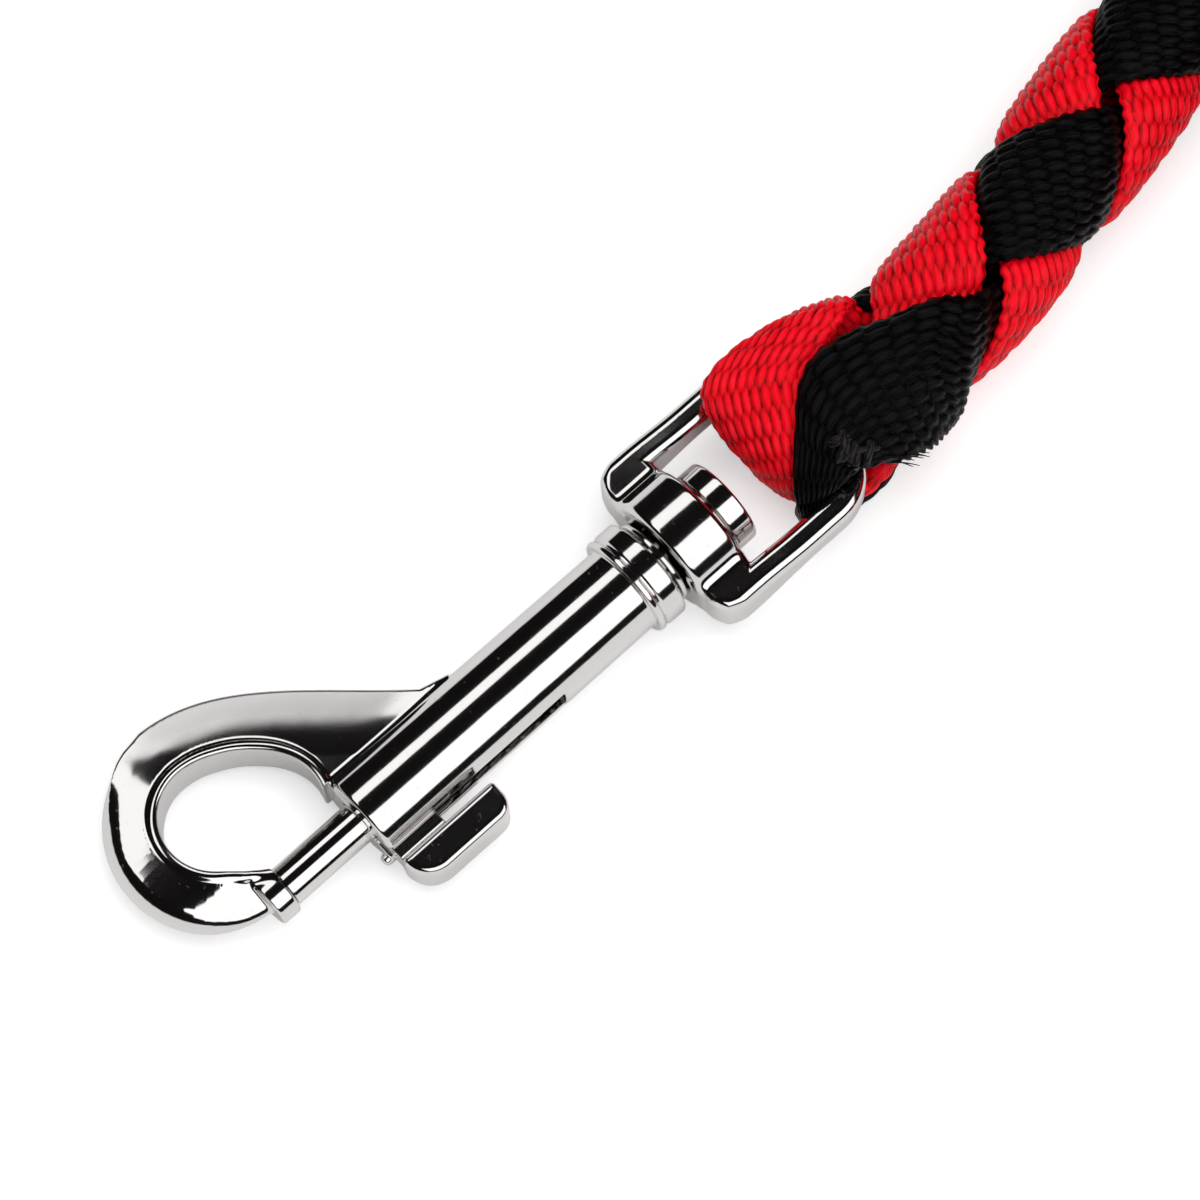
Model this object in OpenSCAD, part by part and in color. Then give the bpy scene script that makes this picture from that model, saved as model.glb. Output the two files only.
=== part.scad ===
// Lead rope for leading a horse: a swivel bolt snap on a four-strand plait of flat webbing.
// Millimetres. The snap points along -X, its hook bow lies to +Y, and Z = 0 is the surface it lies on.

/* [Hook] */
// Radius of the round end of the hook's opening
hook_r = 6.5; // [5:0.1:8.5]
// Width of the hook's band, from the opening to its outer edge
hook_band = 6.5; // [4.5:0.1:8]
// Thickness of the hook's band, through its flat side
hook_thick = 6.6; // [5:0.1:8]
// Rounding of the band's outer edges
hook_outer_round = 2.6; // [1:0.1:3]
// Rounding of the band's inner edges
hook_inner_round = 1.2; // [0.4:0.1:1.6]
// Width of the raised rim that runs round the opening
rim_w = 1.6; // [0.8:0.1:2.5]
// Thickness of the web between the rim, the band and the barrel
web_thick = 4.8; // [3:0.1:6]
// How far the opening's round end sits ahead of the barrel's mouth
hook_reach = 12.3; // [10:0.1:15]
// How far the web runs back along the barrel
web_len = 15; // [10:0.5:20]

/* [Barrel] */
// Outer diameter of the barrel at its mouth
barrel_d = 11.5; // [10.6:0.1:13]
// Outer diameter of the barrel where it meets the collar
barrel_rear_d = 10.9; // [10.2:0.1:12.5]
// Length of the barrel, from its mouth to the collar
barrel_len = 40.3; // [36:0.1:52]
// Diameter of the bore that holds the spring
bore_d = 8; // [6.6:0.1:8.4]
// Thickness of the wall at the mouth that guides the bolt
mouth_wall = 3; // [2:0.1:5]
// Width of the slot that the thumb tab slides in
slot_w = 3.5; // [3:0.1:4.5]

/* [Collar] */
// Diameter of the crimped collar
collar_d = 12.9; // [12:0.1:15]
// Length of the collar
collar_len = 3.9; // [3:0.1:6]

/* [Bolt] */
// Diameter of the bolt's rod
rod_d = 5; // [4:0.1:6]
// Radial clearance of the rod in the mouth, and of the guide in the bore
slide_gap = 0.05; // [0.02:0.01:0.1]
// Length of the bolt's thick guide, inside the bore
guide_len = 7; // [5:0.1:9]
// How far the bolt draws back when the thumb tab is pulled
bolt_travel = 12.5; // [10:0.5:14]

/* [Thumb tab] */
// Length of the thumb pad, along the barrel
pad_len = 13.6; // [10:0.1:16]
// Height of the thumb pad, around the barrel
pad_h = 6; // [4.5:0.1:8]
// Thickness of the thumb pad, outwards
pad_t = 4.2; // [3:0.1:6]
// Gap between the barrel's surface and the pad
pad_gap = 1.5; // [0.8:0.1:3]
// Length of the neck that joins the pad to the bolt
neck_len = 6.6; // [4:0.1:7]
// Clearance between the neck and each side of the slot
neck_gap = 0.2; // [0.1:0.05:0.5]

/* [Spring] */
// Wire diameter of the spring
wire_d = 0.8; // [0.6:0.1:1]
// Number of turns of the spring
spring_turns = 11; // [8:1:12]

/* [Swivel] */
// Diameter of the stud's shank, where the eye turns on it
shank_d = 6.4; // [5:0.1:7]
// Radial clearance of the eye on the shank
swivel_gap = 0.06; // [0.02:0.01:0.1]
// Diameter of the stud's head
head_d = 10.9; // [9.5:0.1:13]
// Thickness of the stud's head
head_t = 2.9; // [2:0.1:4]
// Length of the stud's plug that is pressed into the barrel
plug_len = 7.2; // [5:0.1:9]
// Distance between the collar and the eye, which the stud's flange stands in
collar_eye_gap = 1.6; // [1.2:0.1:2.5]
// Thickness of the stud's flange
flange_t = 0.7; // [0.4:0.1:1]

/* [Eye] */
// Diameter of the boss that turns on the stud
boss_d = 15.5; // [13:0.1:18]
// Length of the boss and of the eye's base bar
base_len = 6.7; // [5:0.1:9]
// Thickness of the base bar, through its flat side
base_thick = 7; // [5:0.1:8]
// Clear width between the eye's two arms
eye_w = 16.2; // [13:0.1:22]
// Clear length of the eye, from its base bar to its far bar
eye_len = 15.2; // [13:0.1:22]
// Width of each arm
arm_w = 3.5; // [3:0.1:5]
// Thickness of each arm
arm_thick = 4.8; // [4:0.1:6]
// Diameter of the far bar that the straps go round
bar_d = 3.8; // [3:0.1:4.8]
// Outer radius of the eye's two far corners
corner_r = 7.4; // [6:0.1:8]

/* [Straps] */
// Thickness of the webbing strap
strap_t = 2.6; // [1.5:0.1:3]
// Clearance between the fold and the far bar
fold_gap = 0.3; // [0.3:0.05:0.6]
// Gap between the two folded straps
fold_apart = 0.2; // [0.1:0.05:0.5]

/* [Rope] */
// Diameter of the plaited rope
rope_d = 18.5; // [15:0.1:22.5]
// Radius of the coil at the middle of its turns
coil_r = 105; // [87:1:126]
// Length of the knot at the rope's far end
knot_len = 34; // [28:1:40]
// Largest diameter of the knot
knot_d = 31; // [26:1:37]
// Width of the strap that ties the coil
tie_w = 16; // [10:1:25]
// Thickness of the strap that ties the coil
tie_t = 1.8; // [1:0.1:2.5]

/* [Hidden] */
$fn = 64;

// The far bar's centre in the part's frame. The snap hangs from it, so all of it is placed from here.
bar_x = 42.2;
bar_y = -5.8;

// The rope's route where it isn't coiled, from the folded straps to the coil.
route = [[52.7, -6.3, 9.3], [58, -6.3, 9.3], [63, -6, 9.3], [68, -5.5, 9.3], [73, -4.7, 9.3],
         [78, -3.7, 9.3], [84, -2.5, 9.3], [90, -1.2, 9.3], [97, 0.4, 9.3], [105, 2.1, 9.3],
         [114, 4, 9.3], [123, 5.9, 9.3], [132, 7.8, 9.3], [142, 9.9, 9.3], [152, 11.9, 9.3],
         [162, 13.9, 9.3], [173, 16, 9.3], [184, 18.1, 9.3]];

// Places along the swivel axis, from the far bar's centre towards the hook.
base_rear = -eye_len - bar_d / 2;
base_front = base_rear - base_len;
collar_rear = base_front - collar_eye_gap;
collar_front = collar_rear - collar_len;
mouth = collar_front - barrel_len;
hook_x = mouth - hook_reach;
tip_rise = 0.45;
hook_y = hook_r + hook_band / 2 + tip_rise;

// The snap lies nose down, on the edge of the barrel's mouth and the edge of the eye's boss.
mouth_edge = 0.8;
lie = atan((boss_d - barrel_d) / 2 / (base_front - mouth - mouth_edge));
bar_z = boss_d / 2 * cos(lie) - base_front * sin(lie);

// The bolt, its guide and its spring inside the barrel.
pad_in = barrel_d / 2 + pad_gap;
guide_d = bore_d - 2 * slide_gap;
neck_w = slot_w - 2 * neck_gap;
neck_x = mouth + 0.3;
peg_d = neck_w - 0.4;
peg_len = 1.8;
slot_len = pad_len + bolt_travel + 0.6;
socket_deep = 0.7;
rod_tip = hook_x - socket_deep + 0.3;
guide_front = mouth + mouth_wall + 0.3;
guide_rear = guide_front + guide_len;
plug_front = collar_rear - plug_len;
spring_r = bore_d / 2 - wire_d / 2 - 0.3;

// The eye's outline, and the straps on the straight stretch of its far bar.
eye_out = eye_w / 2 + arm_w;
corner_y = eye_out - corner_r;
corner_x = bar_d / 2 - corner_r;
fold_w = corner_y - fold_apart / 2;
throat_len = route[0][0] - bar_x;
tack_deep = 0.9;

// The rope lies on the surface, as high as its radius wherever its route runs.
rope_r = rope_d / 2;
throat_z = rope_r + 0.05;

// The coil runs clockwise from the route's end, which its first turn carries on. Its angles count from there.
route_end = route[len(route) - 1];
coil_start = 101;
coil_x = route_end[0] - (coil_r + rope_r) * cos(coil_start);
coil_y = route_end[1] - (coil_r + rope_r) * sin(coil_start);
turn_rise = rope_d * sqrt(3) / 2;
knot_from = 185;
top_from = 240;
outer_to = 290;
tie_at = 60;

// Stand a profile of [radius, place along the axis] points round the X axis.
module turned(profile) {
    rotate([0, 90, 0]) rotate_extrude() polygon(profile);
}

// A rod along X, from x0 to x1.
module rod(d, x0, x1) {
    translate([x0, 0, 0]) rotate([0, 90, 0]) cylinder(d = d, h = x1 - x0);
}

// Place what hangs on the far bar.
module laid() {
    translate([bar_x, bar_y, bar_z]) rotate([0, -lie, 0]) children();
}

// Section of the hook's band, with x measured from the centre of the opening's round end.
module band_section() {
    outer = hook_r + hook_band;
    half = hook_thick / 2;
    translate([hook_r + hook_inner_round, -half])
        square([hook_band - hook_inner_round - hook_outer_round, hook_thick]);
    translate([hook_r, hook_inner_round - half])
        square([hook_band / 2, hook_thick - 2 * hook_inner_round]);
    translate([outer - hook_band / 2, hook_outer_round - half])
        square([hook_band / 2, hook_thick - 2 * hook_outer_round]);
    for (side = [-1, 1]) {
        translate([hook_r + hook_inner_round, side * (half - hook_inner_round)]) circle(hook_inner_round);
        translate([outer - hook_outer_round, side * (half - hook_outer_round)]) circle(hook_outer_round);
    }
}

// Outline of the opening, grown outwards by the given amount: two circles and what lies between them.
module opening_outline(grow) {
    near_r = hook_r + 0.1;
    near = [mouth - near_r, hook_y - 2];
    far = [hook_x, hook_y];
    across = [near[1] - far[1], far[0] - near[0]] / norm(near - far) * (hook_r + grow);
    translate(far) circle(hook_r + grow);
    translate(near) circle(near_r + grow);
    polygon([far + across, far - across, near - across, near + across]);
}

function bezier(p, t) =
    pow(1 - t, 3) * p[0] + 3 * t * pow(1 - t, 2) * p[1] + 3 * t * t * (1 - t) * p[2] + pow(t, 3) * p[3];

// Outline of the web: it leaves the top of the band and runs down to the barrel.
module web_outline() {
    top = hook_y + hook_r + hook_band;
    back = [mouth + web_len, barrel_d / 2 + 0.6];
    curve = [[hook_x + 1, top], [hook_x + 11, top - 0.7], [back[0] - 7.6, back[1] + 8.9], back];
    edge = [for (i = [0:14]) bezier(curve, i / 14)];
    polygon(concat(edge, [back + [3.5, -0.9], [back[0] + 3.5, 0], [mouth, 0], [hook_x, hook_y]]));
}

module snap_body() {
    half = collar_d / 2;
    wall = [[bore_d / 2, mouth], [barrel_d / 2 - mouth_edge, mouth], [barrel_d / 2, mouth + mouth_edge],
            [barrel_rear_d / 2, collar_front - 0.5],
            [half - 0.6, collar_front], [half, collar_front + 0.6],
            [half, collar_front + 1.1], [half - 0.4, collar_front + 1.4], [half, collar_front + 1.7],
            [half, collar_rear - 0.5], [half - 0.5, collar_rear], [bore_d / 2, collar_rear]];
    color("silver") laid() {
        difference() {
            union() {
                turned(wall);
                rod(bore_d + 1, mouth, mouth + mouth_wall);
                difference() {
                    union() {
                        translate([0, 0, -web_thick / 2]) linear_extrude(web_thick) web_outline();
                        intersection() {
                            translate([0, 0, -hook_thick / 2]) linear_extrude(hook_thick)
                                opening_outline(rim_w);
                            translate([hook_x, 0, -hook_thick]) cube([2 * hook_reach, 40, 2 * hook_thick]);
                        }
                    }
                    translate([0, 0, -hook_thick]) linear_extrude(2 * hook_thick) opening_outline(0);
                    translate([hook_x, -10, -hook_thick])
                        cube([hook_reach, hook_y + 10, 2 * hook_thick]);
                    rod(bore_d, mouth - 1, collar_rear);
                }
                translate([hook_x, hook_y, 0]) rotate([0, 0, 88]) rotate_extrude(angle = 182) band_section();
                translate([mouth - 1.4, -barrel_d / 2 + 0.9, -slot_w / 2 - 1.1]) rod(1.8, 0, 2.4);
            }
            rod(rod_d + 2 * slide_gap, mouth - 1, mouth + mouth_wall + 1);
            rod(bore_d, mouth + mouth_wall, collar_rear + 1);
            translate([mouth - 2, -barrel_d, -slot_w / 2]) cube([slot_len + 2, barrel_d, slot_w]);
            rod(rod_d + 0.6, hook_x - socket_deep, hook_x + 1);
        }
    }
}

module bolt() {
    tip = rod_d / 2;
    stub = spring_r - wire_d / 2 - 0.7;
    stub_end = guide_rear + 4;
    color("gainsboro") laid() difference() {
        turned([[0, rod_tip], [tip - 0.7, rod_tip], [tip, rod_tip + 0.7], [tip, guide_front],
                [guide_d / 2 - 0.4, guide_front], [guide_d / 2, guide_front + 0.4],
                [guide_d / 2, guide_rear], [stub, guide_rear], [stub - 0.4, stub_end], [0, stub_end]]);
        translate([neck_x + neck_len / 2, peg_len - rod_d / 2, 0]) rotate([90, 0, 0])
            cylinder(d = peg_d, h = bore_d);
        translate([neck_x, -bore_d, -slot_w / 2]) cube([neck_len, bore_d - rod_d / 2, slot_w]);
    }
}

// Outline of the thumb pad in plan: a long nose towards the hook and a short round end.
module pad_outline() {
    inner = -pad_in;
    outer = -pad_in - pad_t;
    nose = 3.6;
    tail = 2.2;
    start = mouth + 0.1;
    translate([start + nose, outer]) square([pad_len - nose - tail, pad_t]);
    translate([start + 1, inner - 1.2]) square([pad_len - 1.6, 1.2]);
    intersection() {
        translate([start + nose, outer + nose]) circle(nose);
        translate([start, outer]) square([nose + 1, pad_t]);
    }
    intersection() {
        translate([start + pad_len - tail, outer + tail]) circle(tail);
        translate([start + pad_len - tail - 1, outer]) square([tail + 1, pad_t]);
    }
}

module thumb_tab() {
    color("gainsboro") laid() {
        difference() {
            translate([0, 0, -pad_h / 2]) linear_extrude(pad_h) pad_outline();
            for (side = [-1, 1])
                translate([mouth - 1, -pad_in - pad_t, side * pad_h / 2]) rotate([45, 0, 0])
                    translate([0, -0.8, -0.8]) cube([pad_len + 2, 1.6, 1.6]);
        }
        translate([neck_x, -pad_in - 0.5, -neck_w / 2]) cube([neck_len, pad_in + 0.5 - rod_d / 2, neck_w]);
        translate([neck_x + neck_len / 2, -rod_d / 2, 0]) rotate([-90, 0, 0])
            cylinder(d = peg_d, h = peg_len);
    }
}

// Rings of points round a path, and one closed skin over them.
function unit(v) = v / norm(v);
function swept_points(path, r, sides, up) = [
    for (i = [0:len(path) - 1])
        let (ahead = unit(path[min(i + 1, len(path) - 1)] - path[max(i - 1, 0)]),
             side = unit(cross(ahead, up)),
             top = cross(side, ahead))
        for (k = [0:sides - 1]) path[i] + r * (cos(360 * k / sides) * side + sin(360 * k / sides) * top)
];

module swept(path, r, sides, up) {
    n = len(path);
    sleeve = [for (i = [0:n - 2]) for (k = [0:sides - 1])
        [i * sides + k, i * sides + (k + 1) % sides, (i + 1) * sides + (k + 1) % sides, (i + 1) * sides + k]];
    first = [for (k = [0:sides - 1]) sides - 1 - k];
    last = [for (k = [0:sides - 1]) (n - 1) * sides + k];
    polyhedron(swept_points(path, r, sides, up), concat(sleeve, [first, last]), convexity = 10);
}

module bolt_spring() {
    start = guide_rear + wire_d / 2 + 0.1;
    end = plug_front - wire_d / 2 - 0.1;
    steps = 16;
    total = spring_turns * steps;
    helix = [for (i = [0:total]) let (a = 360 * i / steps)
        [start + (end - start) * i / total, spring_r * cos(a), spring_r * sin(a)]];
    color("dimgray") laid() swept(helix, wire_d / 2, 6, [1, 0, 0]);
}

module swivel_stud() {
    shank = shank_d / 2;
    plug = bore_d / 2;
    flange_x = (collar_rear + base_front - flange_t) / 2;
    step_d = head_d - 1.6;
    head_x = base_rear + 0.7;
    color("silver") laid() turned([
        [0, plug_front], [plug - 0.5, plug_front], [plug, plug_front + 0.5], [plug, collar_rear],
        [shank, collar_rear], [shank, flange_x], [barrel_rear_d / 2, flange_x],
        [barrel_rear_d / 2, flange_x + flange_t], [shank, flange_x + flange_t], [shank, base_rear + 0.1],
        [step_d / 2, base_rear + 0.1], [step_d / 2, head_x], [head_d / 2 - 0.4, head_x],
        [head_d / 2, head_x + 0.4], [head_d / 2, head_x + head_t - 0.6],
        [head_d / 2 - 0.6, head_x + head_t], [0, head_x + head_t]]);
}

module swivel_eye() {
    color("silver") laid() difference() {
        union() {
            rod(boss_d, base_front, base_rear);
            difference() {
                translate([base_front, -eye_out, -base_thick / 2]) cube([base_len, 2 * eye_out, base_thick]);
                for (side = [-1, 1]) translate([base_front, side * eye_out, 0]) rotate([0, 0, 45])
                    cube([2.4, 2.4, 2 * base_thick], center = true);
            }
            for (side = [-1, 1]) {
                translate([base_rear - 1, side * (eye_out - arm_w / 2) - arm_w / 2, -arm_thick / 2])
                    cube([corner_x - base_rear + 1, arm_w, arm_thick]);
                translate([corner_x, side * corner_y, 0]) rotate([0, 0, side > 0 ? 0 : -90])
                    rotate_extrude(angle = 90) {
                        translate([corner_r - arm_w, -arm_thick / 2]) square([arm_w, arm_thick]);
                    }
            }
            translate([0, -corner_y, 0]) rotate([-90, 0, 0]) cylinder(d = bar_d, h = 2 * corner_y);
        }
        rod(shank_d + 2 * swivel_gap, base_front - 1, base_rear + 1);
    }
}

// One folded strap on the given side: a loop round the far bar that runs back into the plait.
module strap_fold(side) {
    apart = fold_apart / 2;
    gap_r = bar_d / 2 + fold_gap;
    fold_r = gap_r + strap_t;
    back_x = 4.6;
    back_r = rope_r - 0.3;
    shoulder = back_r - 1.5;
    sink = throat_z - bar_z;
    translate([bar_x, bar_y, bar_z]) difference() {
        union() {
            translate([0, side > 0 ? corner_y : -apart, 0]) rotate([90, 0, 0]) linear_extrude(fold_w) {
                circle(fold_r);
                polygon([[0, fold_r], [back_x, sink + shoulder], [back_x, sink - shoulder], [0, -fold_r]]);
            }
            intersection() {
                translate([0, 0, sink]) rod(2 * back_r, back_x, throat_len);
                translate([0, side > 0 ? apart : -rope_d - apart, sink - rope_r])
                    cube([rope_d, rope_d, rope_d - tack_deep]);
            }
        }
        rotate([90, 0, 0]) cylinder(r = gap_r, h = rope_d, center = true);
    }
}

module red_strap_fold() {
    color("crimson") strap_fold(1);
}

module black_strap_fold() {
    color("black") strap_fold(-1);
}

// The two bars of stitching that close the folds, one on top of each strap.
module bar_tacks() {
    color("black") for (side = [-1, 1])
        translate([bar_x + 6, bar_y + side * 2.4 - 1, throat_z + rope_r - tack_deep]) cube([3.4, 2, 0.6]);
}

module rope_run() {
    laid_route = [for (p = route) [p[0], p[1], throat_z]];
    color("crimson") swept(laid_route, rope_r, 12, [0, 0, 1]);
}

// Centres of the coil's turns in its section: inner and outer on the surface, and one in their groove.
turns = [[coil_r - rope_r, rope_r], [coil_r + rope_r, rope_r], [coil_r, rope_r + turn_rise]];

// Outline that a tight band round the listed circles takes, each of the given radius.
function facing(a, b) = atan2(a[0] - b[0], b[1] - a[1]);
function bundle(list, r) = [
    for (i = [0:len(list) - 1])
        let (n = len(list), c = list[i],
             from = facing(list[(i + n - 1) % n], c),
             sweep = (facing(c, list[(i + 1) % n]) - from + 360) % 360,
             steps = ceil(sweep / 20))
        for (k = [0:steps])
            let (a = from + sweep * k / steps) c + r * [cos(a), sin(a)]
];

// Sweep a section round the coil's axis, clockwise from one angle to another.
module along_coil(from, to) {
    translate([coil_x, coil_y, 0]) rotate([0, 0, coil_start - to])
        rotate_extrude(angle = to - from, $fn = 96) children();
}

// The coil's outer shape: a full ring, less the top turn where the knot lies in its place, and less the
// outer turn where the rope comes in. There the ring is flat, one rope's width from the route.
module rope_coil() {
    top = 2 * rope_r;
    high = top + turn_rise;
    in = coil_r - rope_r;
    out = coil_r + rope_r;
    facing_out = [cos(30), sin(30)];
    along_link = [-sin(30), cos(30)];
    wall = turns[0] + (turn_rise - rope_r - 0.3) * facing_out;
    color("crimson") difference() {
        along_coil(0, 360) polygon(bundle(turns, rope_r));
        along_coil(knot_from, top_from) polygon([
            [in - rope_r, top], [in, top], [coil_r, top - rope_r / 3], [out, top],
            [out + rope_r, top], [out + rope_r, high], [in - rope_r, high]]);
        along_coil(outer_to, 360) polygon([
            wall - rope_d * along_link, wall + 2 * rope_d * along_link,
            wall + 2 * rope_d * along_link + 3 * rope_d * facing_out,
            wall - rope_d * along_link + 3 * rope_d * facing_out]);
        tie_band(1);
    }
}

// The strap's band, pulled into the rope by its own thickness and grown outwards by the given amount.
module tie_band(grow = 0) {
    spread = asin(tie_w / 2 / coil_r);
    along_coil(tie_at - spread, tie_at + spread) difference() {
        polygon(bundle(turns, rope_r + grow));
        polygon(bundle(turns, rope_r - tie_t));
    }
}

module coil_tie() {
    color("dimgray") tie_band();
}

// The knot lies in the groove of the two lower turns, with its axis along them.
module end_knot() {
    r = knot_d / 2;
    waist = knot_len / 2 - 3;
    half_turn = asin(knot_len / 2 / coil_r);
    rise = rope_r + sqrt(pow(rope_r + r, 2) - pow(rope_r, 2)) + 0.3;
    bulge = [for (i = [0:8]) let (a = 90 * i / 8) [r * (0.72 + 0.28 * cos(a)), waist * sin(a)]];
    tip = [r * 0.3, knot_len / 2];
    half = concat(bulge, [tip]);
    other = [for (i = [len(half) - 1:-1:1]) [half[i][0], -half[i][1]]];
    color("crimson") translate([coil_x, coil_y, rise])
        rotate([0, 0, coil_start - knot_from - half_turn - 0.4]) translate([coil_r, 0, 0])
            rotate([90, 0, 0]) rotate_extrude() polygon(concat([[0, -knot_len / 2]], other, half,
                                                              [[0, knot_len / 2]]));
}

snap_body();
bolt();
thumb_tab();
bolt_spring();
swivel_stud();
swivel_eye();
red_strap_fold();
black_strap_fold();
bar_tacks();
rope_run();
rope_coil();
end_knot();
coil_tie();
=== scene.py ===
"""A lead rope: a swivel bolt snap on a round plait of two red and two black strands of webbing.

Lengths are millimetres, except in the studio, and angles given as numbers are degrees. Meshes are made
in metres. Places along the swivel axis are measured from the middle of the eye's far bar, towards the rope.
"""
import math
import bpy
import numpy as np
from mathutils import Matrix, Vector


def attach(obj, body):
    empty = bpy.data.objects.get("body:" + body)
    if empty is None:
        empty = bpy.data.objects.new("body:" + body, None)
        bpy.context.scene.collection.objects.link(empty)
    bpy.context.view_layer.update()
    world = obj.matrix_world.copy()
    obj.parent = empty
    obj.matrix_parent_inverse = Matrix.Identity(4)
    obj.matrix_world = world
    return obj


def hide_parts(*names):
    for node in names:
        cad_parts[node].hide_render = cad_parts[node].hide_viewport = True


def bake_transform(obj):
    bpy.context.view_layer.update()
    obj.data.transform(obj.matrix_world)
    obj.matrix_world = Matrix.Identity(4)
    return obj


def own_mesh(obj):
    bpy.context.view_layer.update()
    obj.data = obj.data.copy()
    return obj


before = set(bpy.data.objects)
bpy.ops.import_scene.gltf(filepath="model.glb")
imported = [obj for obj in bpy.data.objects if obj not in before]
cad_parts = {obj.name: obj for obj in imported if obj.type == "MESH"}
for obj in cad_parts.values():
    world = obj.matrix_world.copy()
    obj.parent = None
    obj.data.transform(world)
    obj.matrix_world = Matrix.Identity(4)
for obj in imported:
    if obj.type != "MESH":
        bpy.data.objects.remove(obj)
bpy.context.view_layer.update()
MM = 0.001
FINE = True


# ---------------------------------------------------------------- small helpers

def unit(v):
    v = np.asarray(v, float)
    return v / np.maximum(np.linalg.norm(v, axis=-1, keepdims=True), 1e-12)


def smooth(x, low=0.0, high=1.0):
    """0 below low, 1 above high, and a smooth step between."""
    t = np.clip((np.asarray(x, float) - low) / (high - low), 0, 1)
    return t * t * (3 - 2 * t)


def spline(t, knots, rows):
    """A smooth curve through rows, each a point or a row of points, at the places t among knots."""
    knots, rows = np.asarray(knots, float), np.asarray(rows, float)
    column = (slice(None),) + (None,) * (rows.ndim - 1)
    step = np.diff(knots)
    slope = np.diff(rows, axis=0) / step[column]
    inner = (slope[:-1] * step[1:][column] + slope[1:] * step[:-1][column]) / (step[1:] + step[:-1])[column]
    tangent = np.concatenate([slope[:1], inner, slope[-1:]])
    t = np.clip(np.asarray(t, float), knots[0], knots[-1])
    k = np.clip(np.searchsorted(knots, t, side="right") - 1, 0, len(step) - 1)
    h = step[k][column]
    x = ((t - knots[k]) / step[k])[column]
    return (rows[k] * (1 + 2 * x) * (1 - x) ** 2 + tangent[k] * h * x * (1 - x) ** 2
            + rows[k + 1] * x * x * (3 - 2 * x) + tangent[k + 1] * h * x * x * (x - 1))


def chord(points):
    """Distance run along a row of points."""
    return np.r_[0, np.cumsum(np.linalg.norm(np.diff(points, axis=0), axis=1))]


def scatter(*keys):
    """A fixed pseudo-random number from 0 to 1 for each set of whole numbers."""
    total = sum(np.asarray(k, float) * f for k, f in zip(keys, (12.9898, 78.233, 37.719)))
    return np.mod(np.sin(total) * 43758.5453, 1.0)


def make_mesh(name, verts, faces, material, uv=None, values=None):
    """A smooth mesh object from points in millimetres, each with a uv pair and named values if given."""
    mesh = bpy.data.meshes.new(name)
    mesh.from_pydata((np.asarray(verts) * MM).tolist(), [], faces)
    mesh.materials.append(material)
    mesh.polygons.foreach_set("use_smooth", [True] * len(mesh.polygons))
    if uv is not None:
        layer = mesh.uv_layers.new(name="weave")
        corner = np.zeros(len(mesh.loops), int)
        mesh.loops.foreach_get("vertex_index", corner)
        layer.data.foreach_set("uv", np.asarray(uv, np.float32)[corner].ravel())
    for key, value in (values or {}).items():
        mesh.attributes.new(key, "FLOAT", "POINT").data.foreach_set("value", np.asarray(value, np.float32))
    mesh.update()
    obj = bpy.data.objects.new(name, mesh)
    bpy.context.scene.collection.objects.link(obj)
    return obj


def skin(rings):
    """Points and faces of a closed skin over rings of points, with a fan over each end, facing outwards."""
    n, m = rings.shape[:2]
    verts = np.concatenate([rings.reshape(-1, 3), rings[[0, -1]].mean(1)])
    i, k = np.meshgrid(np.arange(n - 1), np.arange(m), indexing="ij")
    a, b = i * m + k, i * m + (k + 1) % m
    quads = np.stack([a, b, b + m, a + m], -1).reshape(-1, 4)
    faces = quads.tolist()
    last = (n - 1) * m
    faces += [[(k + 1) % m, k, n * m] for k in range(m)]
    faces += [[last + k, last + (k + 1) % m, n * m + 1] for k in range(m)]
    p, q, r, t = verts[quads.T] - verts.mean(0)
    if (np.cross(p, q) * r + np.cross(p, r) * t).sum() < 0:
        faces = [face[::-1] for face in faces]
    return verts, faces


def gather(skins):
    """Joins several (points, faces) into one."""
    verts, faces, at = [], [], 0
    for points, quads in skins:
        verts.append(points)
        faces += [[i + at for i in q] for q in quads]
        at += len(points)
    return np.concatenate(verts), faces


# ---------------------------------------------------------------- camera

LOOK_AZIMUTH = 42.5
LOOK_ELEVATION = 70
CAMERA_DISTANCE = 700
LOOK_AT = (9.297, -5.861, 10.674)
SENSOR_W, LENS = 36, 185.85


def make_camera():
    azimuth, elevation = math.radians(LOOK_AZIMUTH), math.radians(LOOK_ELEVATION)
    ahead = Vector((math.sin(azimuth) * math.cos(elevation), math.cos(azimuth) * math.cos(elevation),
                    -math.sin(elevation)))
    data = bpy.data.cameras.new("camera")
    data.sensor_width = SENSOR_W
    data.lens = LENS
    data.clip_start, data.clip_end = 0.05, 20
    obj = bpy.data.objects.new("camera", data)
    obj.location = (Vector(LOOK_AT) - ahead * CAMERA_DISTANCE) * MM
    obj.rotation_mode = "QUATERNION"
    obj.rotation_quaternion = ahead.to_track_quat("-Z", "Y")
    bpy.context.scene.collection.objects.link(obj)
    bpy.context.scene.camera = obj


make_camera()

# ---------------------------------------------------------------- the rope's line

ROPE_D = 18.5
ROPE_R = ROPE_D / 2
BAR = np.array([42.2, -5.8, 8.799])
LINE_Z = 9.3
# The middle of the rope in plan, from the exit to the start of its coil.
ROUTE = [(52.7, -6.3), (58, -6.3), (63, -6), (68, -5.5), (73, -4.7), (78, -3.7), (84, -2.5), (90, -1.2),
         (97, 0.4), (105, 2.1), (114, 4), (123, 5.9), (132, 7.8), (142, 9.9), (152, 11.9), (162, 13.9),
         (173, 16), (184, 18.1)]
COIL_R = 105
COIL_START = 101
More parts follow.
